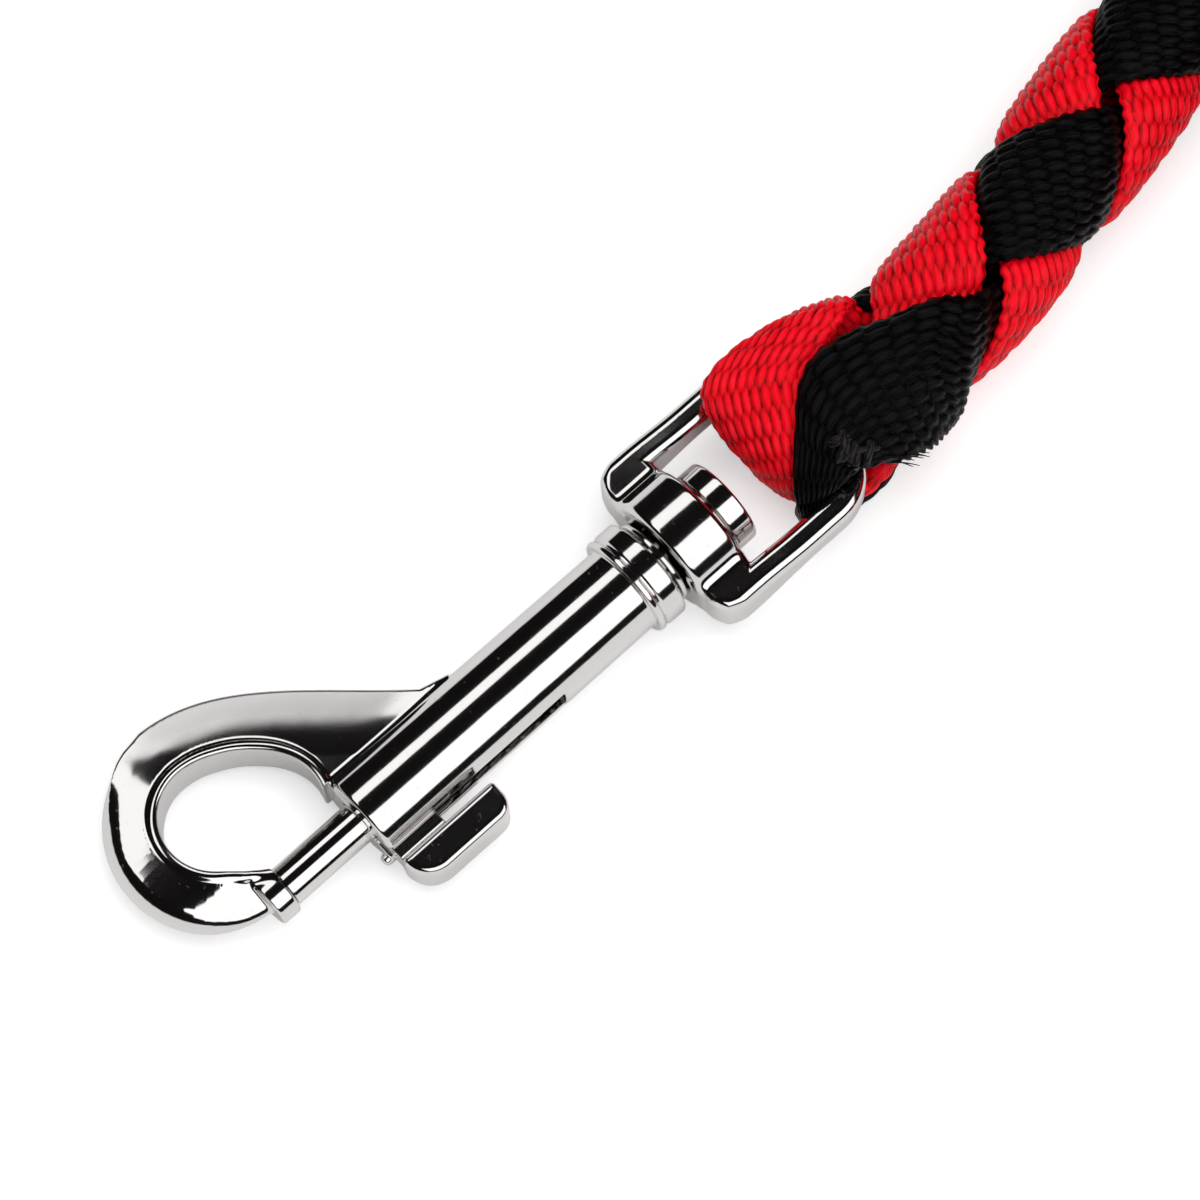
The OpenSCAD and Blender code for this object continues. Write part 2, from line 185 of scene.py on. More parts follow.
# Degrees round the coil: the outer turn changes to the inner one, and then the rope climbs on top of both.
CROSS_FROM, CROSS_TO = 280, 360
CLIMB_FROM, CLIMB_TO = 585, 640
COIL_CENTRE = (ROUTE[-1][0] - (COIL_R + ROPE_R) * math.cos(math.radians(COIL_START)),
               ROUTE[-1][1] - (COIL_R + ROPE_R) * math.sin(math.radians(COIL_START)))
KNOT_FROM = 905
KNOT_LEN = 34
KNOT_TURN = 2 * math.degrees(math.asin(KNOT_LEN / 2 / COIL_R))
KNOT_RISE = 7.2
TAIL_LEN = 13
TIE_AT = 60
TIE_W = 16
TIE_T = 1.8
TIE_FROM, TIE_ROUND = 60, 430
TACKS = 10
TACK_ROW = 8
FRAYS = 7
OUTER = COIL_R + ROPE_R


def lower_radius(turn):
    """Radius of the turns that lie on the surface: the outer one, then a change to the inner one."""
    return OUTER - ROPE_D * smooth(turn, CROSS_FROM, CROSS_TO)


def coil_point(turn):
    """Where the rope's middle is, so many degrees clockwise from the coil's start."""
    climb = math.radians(60) * smooth(turn, CLIMB_FROM, CLIMB_TO)
    radius, z = lower_radius(turn), LINE_Z
    if turn > CLIMB_FROM:
        radius = OUTER - ROPE_D * math.cos(climb)
        z = LINE_Z + ROPE_D * math.sin(climb)
    if turn > CLIMB_TO:
        radius = COIL_R
        beside = radius - lower_radius(turn - 360)
        z = LINE_Z + math.sqrt(ROPE_D ** 2 - beside ** 2)
    z += KNOT_RISE * smooth(turn, KNOT_FROM - 14, KNOT_FROM + KNOT_TURN / 2)
    angle = math.radians(COIL_START - turn)
    return [COIL_CENTRE[0] + radius * math.cos(angle), COIL_CENTRE[1] + radius * math.sin(angle), z]


coil_turns = np.arange(6, KNOT_FROM + KNOT_TURN + 12, 6)
line_points = np.array([[34.2, -6.3, LINE_Z], [42.2, -6.3, LINE_Z]]
                       + [[x, y, LINE_Z] for x, y in ROUTE] + [coil_point(t) for t in coil_turns])
line_knots = chord(line_points)
LINE_STEP = 0.5
line = spline(np.arange(0, line_knots[-1], LINE_STEP), line_knots, line_points)
line_s = chord(line)
line_s -= np.interp(BAR[0], line[:400, 0], line_s[:400])
line_ahead = unit(np.gradient(line, axis=0))
line_right = unit(np.cross(line_ahead, (0, 0, 1)))
line_up = np.cross(line_right, line_ahead)


def place_of_turn(turn):
    """How far along the line the coil's given angle is."""
    near = np.linalg.norm(line - np.array(coil_point(turn)), axis=1)
    return line_s[near.argmin()]


knot_start = place_of_turn(KNOT_FROM)
knot_end = knot_start + KNOT_LEN
tie_places = [place_of_turn(TIE_AT + 360 * k) for k in range(3)]

# ---------------------------------------------------------------- the plait

STRAP_T = 2.4
PITCH = 25.74
KNOT_PITCH = 17
NECK_AT = 25.6
# Half a strand's width as an angle across the weave, which makes its strap about 13.5 mm wide.
HALF_STRAP = 78
PLAIT_R = 6.35
WEAVE_SHIFT = 1.2
KNOT_SWELL, KNOT_DRAW, TAIL_DRAW, TIE_DRAW = 6.6, 3.2, 1.6, 1.9
# Places along the rope, and how far the black column has turned from straight up at each.
COLUMN_PLACES = (-12, 0, 12, 25.6, 38, 51.4, 64, 90, 2500)
COLUMN_ANGLES = (40, 37, 32, 24.7, 15, 8, 10, 14, 14)
STRAND_TURN = PITCH / math.cos(math.atan(math.pi * 8 / PITCH))


def knot_share(s):
    return (np.asarray(s, float) - knot_start) / KNOT_LEN


def plait_radius(s):
    """Radius of the middle of the plait's wall: it swells at the knot and is drawn in by the tie."""
    x = knot_share(s)
    swell = np.where((x > 0) & (x < 1), np.sin(math.pi * np.clip(x, 0, 1)) ** 0.7, 0)
    pull = sum(1 - smooth(abs(s - at), TIE_W / 2 - 2, TIE_W / 2 + 4) for at in tie_places)
    drawn = KNOT_DRAW * smooth(x, 0.6, 1)
    return PLAIT_R + KNOT_SWELL * swell - drawn - TAIL_DRAW * smooth(x, 1, 1.4) - TIE_DRAW * pull


twist_table = 90 + 180 * (line_s - NECK_AT) / PITCH
in_knot = np.clip(line_s - knot_start, 0, None)
twist_table = twist_table + 180 * in_knot * (1 / KNOT_PITCH - 1 / PITCH)


def column_at(s):
    """Angle from straight up to the black column, which the rope's own twist moves."""
    return spline(s, COLUMN_PLACES, COLUMN_ANGLES)


def on_plait(around, twist, offset):
    """Points of the plait's wall. around is measured from the black column; twist grows along the rope."""
    s = np.interp(twist, twist_table, line_s)
    angle = np.radians(around + column_at(s.ravel()).reshape(s.shape))[..., None]
    pick = [np.stack([np.interp(s, line_s, table[:, k]) for k in range(3)], -1)
            for table in (line, line_up, line_right)]
    radius = (plait_radius(s) + offset)[..., None]
    return pick[0] + radius * (np.cos(angle) * pick[1] + np.sin(angle) * pick[2])


def strand_points(colour, start, along, v):
    """Mid-surface of a strand. along grows with the rope, one crossing each 180; v runs from edge to edge."""
    along, v = np.broadcast_arrays(along, v)
    over = np.tanh(3.2 * np.cos(np.radians(along))) / math.tanh(3.2)
    lift = WEAVE_SHIFT * over * math.cos(math.radians(start))
    if colour == "black":
        a = start + HALF_STRAP * v
        return on_plait((a + along) / 2, (along - a) / 2, lift)
    b = start + HALF_STRAP * v
    return on_plait((b - along) / 2, (b + along) / 2, -lift)


# ---------------------------------------------------------------- webbing

YARNS = 24
ROW_LEN = 5.1
RELIEF = 0.42
CROWN = 0.3
POD = (1.05, 0.34)


def weave(across, rows):
    """Height of the weave from about -0.3 to 1: floats of the warp, each yarn half a row on from the next."""
    yarn = np.floor(across)
    x = across - yarn - 0.5
    best = None
    for side in (0, 1):
        odd = np.mod(yarn + side, 2)
        reach = np.where(side, 1 - abs(x), abs(x))
        y = np.mod(rows + 0.5 * odd, 1) - 0.5
        height = 1 - (reach / POD[0]) ** 2 - (abs(y) / POD[1]) ** 2.2
        best = height if best is None else np.maximum(best, height)
    return np.clip(best, -0.3, 1)


def across_rows(rows, v):
    """Rows of five points, from edge to edge, evaluated at v."""
    at = (-1, -0.5, 0, 0.5, 1)
    total = 0
    for k, node in enumerate(at):
        share = 1
        for other in at:
            if other != node:
                share = share * (v - other) / (node - other)
        total = total + rows[:, k, None, :] * share[..., None]
    return total


def wide(row):
    """Five points from a row of three: an edge, the middle and the other edge."""
    low, mid, high = (np.array(p, float) for p in row)
    return [mid + (high - low) / 2 * v + (high + low - 2 * mid) / 2 * v * v for v in (-1, -0.5, 0, 0.5, 1)]


def strap_rings(points, length, fine, outward=1, thick=STRAP_T):
    """Rings of points round a strap whose mid-surface points(v) gives, with the weave's relief if fine.

    length is how far along the strap each ring is, and outward is -1 where points faces inwards. Returns
    the rings and their weave coordinates.
    """
    top = np.linspace(-1, 1, 81 if fine else 21)
    if fine:
        top = np.sort(np.r_[top, -0.993, 0.993])
    under = np.linspace(1, -1, 17 if fine else 9)[1:-1]
    v = np.r_[top, under][None, :]
    is_top = np.arange(v.shape[1]) < len(top)
    rows = (length / ROW_LEN)[:, None]
    scallop = 0.022 * np.cos(6 * math.pi * rows) * np.abs(v) ** 6 * (1 if fine else 0)
    mid = points(v * (1 + scallop))
    spots = np.linspace(-1, 1, 21)
    coarse = np.gradient(points(np.broadcast_to(spots, (len(length), 21)).copy()), axis=1)
    at = (np.clip(v[0], -1, 1) + 1) * 10
    low = np.clip(at.astype(int), 0, 19)
    part = (at - low)[None, :, None]
    side = unit(coarse[:, low] * (1 - part) + coarse[:, low + 1] * part)
    normal = outward * unit(np.cross(unit(np.gradient(mid, axis=0)), side))
    edge = (1 - np.clip(np.abs(v), 0, 1) ** 5) ** 0.4
    across = (v + 1) / 2 * YARNS
    yarn = np.floor(np.clip(across, 0, YARNS - 0.01))
    pod = scatter(yarn, np.floor(rows + 0.5 * np.mod(yarn, 2)))
    height = thick / 2 * edge + CROWN * (1 - v * v) * thick / STRAP_T
    if fine:
        height = height + (weave(across, rows) * (0.88 + 0.24 * pod) - 0.8) * RELIEF * edge
    height = np.where(is_top[None, :], height, -thick / 2 * edge)
    uv = np.stack(np.broadcast_arrays(across, rows), -1)
    return mid + normal * height[..., None], uv


def strap_object(name, colour, stretches, bends=None):
    """One object from several stretches of strap, each given as (rings, weave coordinates, fine).

    If bends is given, the object is left loose with its place baked into its mesh, not tied to the rope; the
    points in bends are not used.
    """
    skins, uvs, relief = [], [], []
    for rings, uv, fine in stretches:
        verts, faces = skin(rings)
        skins.append((verts, faces))
        uvs.append(np.concatenate([uv.reshape(-1, 2), uv[[0, -1]].mean(1)]))
        relief.append(np.full(len(verts), 1.0 if fine else 0.0))
    verts, faces = gather(skins)
    obj = make_mesh(name, verts, faces, materials[colour + "_webbing"], np.concatenate(uvs),
                    {"relief": np.concatenate(relief)})
    if bends:
        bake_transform(obj)
    else:
        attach(obj, "rope")
    return obj


FINE_STEP = 0.24 if FINE else 0.4
FAR_STEP = 1.5
FINE_TO = 92
PER_DEGREE = STRAND_TURN / 360


def join_along(start, s):
    """The along angle at which the middle of a strand has come a given way."""
    twist = np.interp(s, line_s, twist_table)
    return 2 * twist + start


def fold_surface(colour, starts, joins, fold_rows):
    """Rows of five points across the strap: three in the first strand, the fold's, three in the second."""
    lead = 25
    rows = [strand_points(colour, starts[0], joins[0] + lead * k, np.linspace(-1, 1, 5)) for k in (2, 1, 0)]
    rows += [np.array(wide(row)) + BAR for row in fold_rows]
    rows += [strand_points(colour, starts[1], joins[1] + lead * k, np.linspace(1, -1, 5)) for k in (0, 1, 2)]
    return np.array(rows)


def folded_strap(colour, starts, joins, hidden, fold_rows):
    """The near part of a strap: one strand in to the fold, the fold over the far bar, the other strand out.

    joins are the along angles at which the plait gives way to fold_rows. hidden are those under a crossing
    strand, where the fold's own piece ends. Returns the stretches: first strand, fold and second strand.
    """
    rows = fold_surface(colour, starts, joins, fold_rows)
    knots = chord(rows[:, 2])
    fold_from, fold_len = knots[2], knots[-3] - knots[2]
    first_len = (join_along(starts[0], FINE_TO) - joins[0]) * PER_DEGREE
    second_len = (join_along(starts[1], FINE_TO) - joins[1]) * PER_DEGREE
    steps = [np.linspace(-first_len, 0, round(first_len / FINE_STEP) + 1),
             np.linspace(0, fold_len, round(fold_len / FINE_STEP) + 1)[1:],
             fold_len + np.linspace(0, second_len, round(second_len / FINE_STEP) + 1)[1:]]
    length = np.concatenate(steps)
    ends = np.cumsum([len(x) for x in steps])

    def points(v):
        out = np.empty(v.shape + (3,))
        first, last = slice(0, ends[0]), slice(ends[1], ends[2])
        fold = slice(ends[0], ends[1])
        before = joins[0] - length[first] / PER_DEGREE
        out[first] = strand_points(colour, starts[0], before[:, None], v[first])
        out[fold] = across_rows(spline(length[fold] + fold_from, knots, rows), v[fold])
        beyond = (length[last] - fold_len) / PER_DEGREE
        out[last] = strand_points(colour, starts[1], (joins[1] + beyond)[:, None], -v[last])
        return out

    rings, uv = strap_rings(points, length, True)
    first, last = [np.abs(length - at).argmin() for at in
                   ((joins[0] - hidden[0]) * PER_DEGREE, fold_len + (hidden[1] - joins[1]) * PER_DEGREE)]
    cuts = [(0, first + 1), (first, last + 1), (last, ends[2])]
    return [(rings[a:b], uv[a:b], True) for a, b in cuts]


def strand_stretch(colour, start, s_from, s_to, step, fine):
    """A stretch of one strand between two places on the line."""
    span = [join_along(start, s) for s in (s_from, s_to)]
    along = np.linspace(span[0], span[1], round((span[1] - span[0]) * PER_DEGREE / step) + 1)
    rings, uv = strap_rings(lambda v: strand_points(colour, start, along[:, None], v),
                            along * PER_DEGREE, fine, -1)
    return rings, uv, fine


# ---------------------------------------------------------------- materials

def node_tree(name):
    material = bpy.data.materials.new(name)
    material.use_nodes = True
    tree = material.node_tree
    return material, tree, tree.nodes["Principled BSDF"]


def add(tree, kind, inputs=None, **settings):
    """A node, with its settings and with its inputs set or linked."""
    node = tree.nodes.new("ShaderNode" + kind)
    for key, value in settings.items():
        setattr(node, key, value)
    for key, value in (inputs or {}).items():
        if isinstance(value, bpy.types.NodeSocket):
            tree.links.new(value, node.inputs[key])
        else:
            node.inputs[key].default_value = value
    return node


def maths(tree, operation, *values):
    return add(tree, "Math", dict(enumerate(values)), operation=operation).outputs[0]


def weave_nodes(tree):
    """The height that weave() gives, from the weave coordinates, a number for each float, and fine fibres."""
    uv = add(tree, "UVMap", uv_map="weave").outputs[0]
    split = add(tree, "SeparateXYZ", {0: uv})
    across, rows = split.outputs[0], split.outputs[1]
    yarn = maths(tree, "FLOOR", across)
    x = maths(tree, "ABSOLUTE", maths(tree, "SUBTRACT", maths(tree, "FRACT", across), 0.5))
    best, floats = None, None
    for side in (0, 1):
        odd = maths(tree, "FLOORED_MODULO", maths(tree, "ADD", yarn, float(side)), 2.0)
        shifted = maths(tree, "ADD", rows, maths(tree, "MULTIPLY", odd, 0.5))
        floats = floats or maths(tree, "FLOOR", shifted)
        y = maths(tree, "ABSOLUTE", maths(tree, "SUBTRACT", maths(tree, "FRACT", shifted), 0.5))
        reach = maths(tree, "SUBTRACT", 1.0, x) if side else x
        wide_part = maths(tree, "POWER", maths(tree, "DIVIDE", reach, POD[0]), 2.0)
        long_part = maths(tree, "POWER", maths(tree, "DIVIDE", y, POD[1]), 2.2)
        height = maths(tree, "SUBTRACT", maths(tree, "SUBTRACT", 1.0, wide_part), long_part)
        best = height if best is None else maths(tree, "MAXIMUM", best, height)
    best = maths(tree, "MAXIMUM", best, -0.3)
    pod = add(tree, "CombineXYZ", {0: yarn, 1: floats}).outputs[0]
    number = add(tree, "TexWhiteNoise", {"Vector": pod}, noise_dimensions="2D").outputs[0]
    fibre_at = add(tree, "CombineXYZ", {0: maths(tree, "MULTIPLY", across, 4.5),
                                        1: maths(tree, "MULTIPLY", rows, 3.0)}).outputs[0]
    fibre = add(tree, "TexNoise", {"Vector": fibre_at, "Scale": 1.0, "Detail": 2.0}, noise_dimensions="2D")
    return best, number, fibre.outputs[0]


def webbing(name, deep, mid, bright, roughness, shine):
    """Woven webbing coloured from the weave's height: painted shade between the floats and painted highlight
    on them, with a random tone for each float and fine fibres along each float.
    """
    material, tree, shader = node_tree(name)
    height, number, fibre = weave_nodes(tree)
    # Painted shade in the gaps and painted highlight on the floats, from the weave's height, plus each
    # float's random tone and the fibres' grain.
    painted_shade_and_tone = maths(tree, "ADD", maths(tree, "MULTIPLY", height, 0.75), maths(tree, "MULTIPLY", number, 0.22))
    painted_shade_and_tone = maths(tree, "ADD", painted_shade_and_tone, maths(tree, "MULTIPLY", maths(tree, "SUBTRACT", fibre, 0.5), 0.55))
    ramp = add(tree, "ValToRGB", {0: painted_shade_and_tone})
    stops = ramp.color_ramp.elements
    stops[0].position, stops[0].color = 0.0, deep
    stops[1].position, stops[1].color = 0.95, bright
    middle = stops.new(0.5)
    middle.color = mid
    tree.links.new(ramp.outputs[0], shader.inputs["Base Color"])
    made = add(tree, "Attribute", attribute_name="relief").outputs["Fac"]
    left = maths(tree, "MULTIPLY", maths(tree, "SUBTRACT", 1.0, made), RELIEF)
    unmade = maths(tree, "MULTIPLY", height, left)
    total = maths(tree, "ADD", unmade, maths(tree, "MULTIPLY", fibre, 0.07))
    bump = add(tree, "Bump", {"Strength": 1.0, "Distance": MM, "Height": total})
    tree.links.new(bump.outputs[0], shader.inputs["Normal"])
    shader.inputs["Roughness"].default_value = roughness
    shader.inputs["Specular IOR Level"].default_value = shine
    return material


def metal(name, colour, roughness, wave=0.0):
    """Plated metal, rougher where the mesh says satin, with the faint unevenness of a polished casting."""
    material, tree, shader = node_tree(name)
    shader.inputs["Base Color"].default_value = colour
    shader.inputs["Metallic"].default_value = 1
    at = add(tree, "TexCoord").outputs["Object"]
    satin = add(tree, "Attribute", attribute_name="satin").outputs["Fac"]
    smear = add(tree, "TexNoise", {"Vector": at, "Scale": 260.0, "Detail": 3.0}).outputs[0]
    worn = maths(tree, "MULTIPLY_ADD", smear, 0.03, roughness - 0.015)
    tree.links.new(maths(tree, "MULTIPLY_ADD", satin, 0.22, worn), shader.inputs["Roughness"])
    if wave:
        swell = add(tree, "TexNoise", {"Vector": at, "Scale": 210.0, "Detail": 1.0}).outputs[0]
        spots = add(tree, "TexNoise", {"Vector": at, "Scale": 1500.0, "Detail": 1.0}).outputs[0]
        pits = maths(tree, "LESS_THAN", spots, 0.27)
        rise = maths(tree, "MULTIPLY", swell, wave)
        height = maths(tree, "SUBTRACT", rise, maths(tree, "MULTIPLY", pits, 0.05))
        bump = add(tree, "Bump", {"Strength": 1.0, "Distance": MM, "Height": height})
        tree.links.new(bump.outputs[0], shader.inputs["Normal"])
    return material


materials = {
    # In each webbing the deep colour is painted shade between the floats and the bright colour painted
    # highlight on them.
    "red_webbing": webbing("red_webbing", (0.1, 0.0, 0.001, 1), (0.82, 0.002, 0.009, 1),
                           (1.0, 0.006, 0.022, 1), 0.24, 0.14),
    "black_webbing": webbing("black_webbing", (0.0002, 0.0002, 0.0002, 1), (0.0012, 0.001, 0.001, 1),
                             (0.006, 0.0055, 0.0055, 1), 0.22, 0.06),
    "nickel": metal("nickel", (0.78, 0.76, 0.75, 1), 0.09, 0.03),
    "turned": metal("turned", (0.79, 0.77, 0.76, 1), 0.085),
    "thread": webbing("thread", (0.003, 0.002, 0.002, 1), (0.006, 0.005, 0.005, 1), (0.014, 0.011, 0.011, 1),
                      0.25, 0.2),
    "tie_webbing": webbing("tie_webbing", (0.006, 0.006, 0.006, 1), (0.018, 0.018, 0.019, 1),
                           (0.045, 0.045, 0.047, 1), 0.55, 0.25),
    "spring_steel": metal("spring_steel", (0.3, 0.29, 0.28, 1), 0.35),
}

# ---------------------------------------------------------------- metal shapes

# The snap and eye rest on the barrel's mouth and the boss, so the axis slopes down by LIE towards the hook.
LIE = math.radians(2.5448)
MOUTH, COLLAR_FRONT, COLLAR_REAR = -69.6, -29.3, -25.4
BASE_FRONT, BASE_REAR = -23.8, -17.1
# The middle of the hook's round end, and where its tip ends, near the bolt's nose.
HOOK = (-81.3, 10.7)
TIP = -81.0
TIP_RING_D, TIP_RING_LEN = 6.4, 2.6
SOCKET_D, SOCKET_DEEP, NOSE_DEEP = 5.2, 0.7, 0.4
HOOK_R, HOOK_BAND, HOOK_THICK = 6.5, 6.7, 7.2
BARREL_D, BARREL_REAR_D, BORE_D, MOUTH_WALL = 11.5, 10.9, 8.0, 3.0
COLLAR_D, ROD_D = 12.9, 5.0
SLOT_W, SLOT_LEN = 3.5, 26.7
WEB_THICK, WEB_LEN, RIM_W = 6.2, 15.0, 1.2
# Degrees round the hook over which the satin web gives way to the bright band.
WEB_FROM, WEB_TO = 80, 112
# How far below the axis the outline is closed where only its distance inwards from the edge matters.
OUTLINE_DOWN = 12
BOSS_D, BASE_THICK, EYE_OUT = 15.5, 7.0, 11.6
ARM_W, ARM_THICK, BAR_D, CORNER_R = 3.5, 4.8, 3.8, 7.4
SHANK_D, HEAD_D, HEAD_T, FLANGE_T = 6.4, 10.9, 2.9, 0.7
GUIDE_D, GUIDE_LEN, BOLT_TRAVEL = 7.7, 7.0, 12.5
GUIDE_REAR, PLUG_FRONT = -59.3, -32.6
PAD_LEN, PAD_H, PAD_T, PAD_IN = 13.6, 6.0, 4.2, 7.25
NECK_LEN, NECK_W = 6.6, 3.1
SPRING_R, WIRE_D, SPRING_TURNS = 3.3, 0.8, 11
SHAPE_STEP = 0.22 if FINE else 0.4


def laid(points):
    """Points given from the middle of the far bar along the swivel axis, put in the frame's place."""
    x, y, z = np.moveaxis(np.asarray(points, float), -1, 0)
    cos, sin = math.cos(LIE), math.sin(LIE)
    return np.stack([x * cos - z * sin, y, x * sin + z * cos], -1) + BAR


def join(a, b, k=0.3):
    """Union of two distances with a fillet of about k."""
    h = np.clip(k - abs(a - b), 0, None) / k
    return np.minimum(a, b) - h * h * k / 4


def cut(a, b, k=0.3):
    """a without b, with the new edge rounded by about k."""
    return -join(-a, b, k)


def rounded(parts, r):
    """Distance to a body that is inside every one of parts, with its edges rounded by r."""
    total = sum(np.maximum(p + r, 0) ** 2 for p in parts)
    inside = parts[0]
    for p in parts[1:]:
        inside = np.maximum(inside, p)
    return np.sqrt(total) + np.minimum(inside + r, 0) - r


def shaft(x, y, z, d, x0, x1, edge=0.2):
    return rounded([np.hypot(y, z) - d / 2, abs(x - (x0 + x1) / 2) - (x1 - x0) / 2], edge)


def block(x, y, z, low, high, edge=0.2):
    sides = [abs(p - (a + b) / 2) - (b - a) / 2 for p, a, b in zip((x, y, z), low, high)]
    return rounded(sides, edge)


def outline_distance(x, y, outline):
    """Signed distance in the plane to a closed outline."""
    best, inside = 1e9, False
    for (ax, ay), (bx, by) in zip(outline, outline[1:] + outline[:1]):
        ex, ey = bx - ax, by - ay
        t = np.clip(((x - ax) * ex + (y - ay) * ey) / (ex * ex + ey * ey), 0, 1)
        best = np.minimum(best, (x - ax - t * ex) ** 2 + (y - ay - t * ey) ** 2)
        crosses = (ay > y) != (by > y)
        left = x < ax + (y - ay) / (ey if ey else 1) * ex
        inside = inside ^ (crosses & left)
    return np.where(inside, -1, 1) * np.sqrt(best)


def bezier(p, t):
    p = np.array(p, float)
    return sum(c * q for c, q in zip(((1 - t) ** 3, 3 * t * (1 - t) ** 2, 3 * t * t * (1 - t), t ** 3), p))


def hook_outline(down=0):
    """The casting's edge: round the hook from its tip, over the web, to down below the axis, and back."""
    reach = HOOK_R + HOOK_BAND
    turns = np.linspace(270, 96, 30)
    narrow = reach - 0.6 * smooth(turns, 225, 270)
    hook = [(HOOK[0] + r * math.cos(t), HOOK[1] + r * math.sin(t)) for r, t in zip(narrow, np.radians(turns))]
    back = (MOUTH + WEB_LEN, BARREL_D / 2 + 0.6)
    curve = [(HOOK[0], HOOK[1] + reach + 0.2), (HOOK[0] + 10.5, HOOK[1] + reach - 0.2),
             (back[0] - 8.6, back[1] + 7.3), back]
    edge = [tuple(bezier(curve, i / 24)) for i in range(25)]
    return hook + edge + [(back[0] + 3.5, back[1] - 0.9), (back[0] + 3.5, -down), (HOOK[0] + 6, -down)]


def opening_distance(x, y):
    """Distance to the hook's opening: a slot from the hook to the mouth, filled out by a circle between."""
    ax, ay = HOOK
    bx, by = MOUTH - 7.1, 7.3
    t = np.clip(((x - ax) * (bx - ax) + (y - ay) * (by - ay)) / ((bx - ax) ** 2 + (by - ay) ** 2), 0, 1)
    between = np.hypot(x - ax - t * (bx - ax), y - ay - t * (by - ay)) - HOOK_R - 0.1 * t
    bulge = np.hypot(x - (ax + bx) / 2 - 0.3, y - (ay + by) / 2 - 0.4) - HOOK_R + 0.1
    return join(between, bulge, 1.8)


def hook_turn(x, y):
    """Degrees round the hook: about 90 on the web, 180 at its end and 270 at the tip."""
    turn = np.degrees(np.arctan2(y - HOOK[1], x - HOOK[0]))
    return np.where(turn < -70, turn + 360, turn)


def crown_width(turn):
    """How far in from its outer edge the web's top is crowned, wider towards the barrel."""
    return 5.6 - 2.8 * smooth(turn, 65, 112)


def snap_distance(x, y, z):
    rim = opening_distance(x, y)
    edge = outline_distance(x, y, hook_outline())
    turn = hook_turn(x, y)
    ahead = 1 - smooth(turn, 100, 146)
    crown = 0.3 * (1 - smooth(turn, WEB_FROM, WEB_TO))
    inwards = -outline_distance(x, y, hook_outline(OUTLINE_DOWN))
    slope = crown * np.clip(1 - inwards / crown_width(turn), 0, 1.2) ** 2
    slope = slope + 0.12 * np.clip((inwards - 3) / 4, 0, 1.2) ** 2
    web = rounded([edge, abs(z) - WEB_THICK / 2 + slope], 0.5)
    top = HOOK_THICK / 2 - 0.6 * smooth(x, HOOK[0] - 6, HOOK[0]) * smooth(-y, -6, -3)
    out = np.maximum(edge + HOOK_BAND - RIM_W - 0.6, 0)
    steep = smooth(turn, 205, 245)
    drop = steep * (0.42 * out + 0.05 * out ** 2) + (1 - steep) * (0.13 * out + 0.025 * out ** 2)
    band = rounded([edge, (1 - 0.22 * steep) * (abs(z) - top + 0.25 + drop)], 2.5 - 1.3 * steep)
    plate = np.maximum(-rim, band * (1 - ahead) + web * ahead)
    bead_top = (top + 0.2) * (1 - ahead) + (WEB_THICK / 2 + 0.45) * ahead
    bead = rounded([abs(rim - RIM_W / 2) - RIM_W / 2, abs(z) - bead_top], 0.6)
    hook = join(plate, bead, 0.6)
    gap = rounded([TIP - x, x - MOUTH, y - HOOK_R * 0.75], 0.05)
    hook = cut(hook, gap, 0.15)
    tip = shaft(x, y - 0.1, z, TIP_RING_D, TIP - TIP_RING_LEN, TIP, 0.4)
    hook = join(hook, tip, 0.8)
    hook = cut(hook, rim, 0.3)
    barrel = shaft(x, y, z, BARREL_D, MOUTH, COLLAR_FRONT + 0.5, 0.7)
    taper = (BARREL_D - BARREL_REAR_D) / 2 * np.clip((x - MOUTH) / (COLLAR_FRONT - MOUTH), 0, 1)
    barrel = barrel + taper
    body = join(hook, barrel, 0.6)
    collar = shaft(x, y, z, COLLAR_D, COLLAR_FRONT, COLLAR_REAR, 0.4)
    groove = np.hypot(np.hypot(y, z) - COLLAR_D / 2 - 0.05, x - COLLAR_FRONT - 1.1) - 0.3
    collar = cut(collar, groove, 0.2)
    body = join(body, collar, 0.3)
    lug = shaft(x, y + BARREL_D / 2 - 1.1, z + SLOT_W / 2 + 1.1, 1.5, MOUTH - 0.8, MOUTH + 1, 0.5)
    body = join(body, lug, 0.3)
    body = cut(body, shaft(x, y, z, ROD_D + 0.5, MOUTH - 2, MOUTH + MOUTH_WALL + 1), 0.3)
    body = cut(body, shaft(x, y, z, BORE_D, MOUTH + MOUTH_WALL, COLLAR_REAR + 2), 0.2)
    slot = block(x, y, z, (MOUTH - 3, -9, -SLOT_W / 2), (MOUTH + SLOT_LEN, 0, SLOT_W / 2), 0.3)
    body = cut(body, slot, 0.35)
    return cut(body, shaft(x, y, z, SOCKET_D, TIP - SOCKET_DEEP, TIP + 2, 0.1), 0.15)


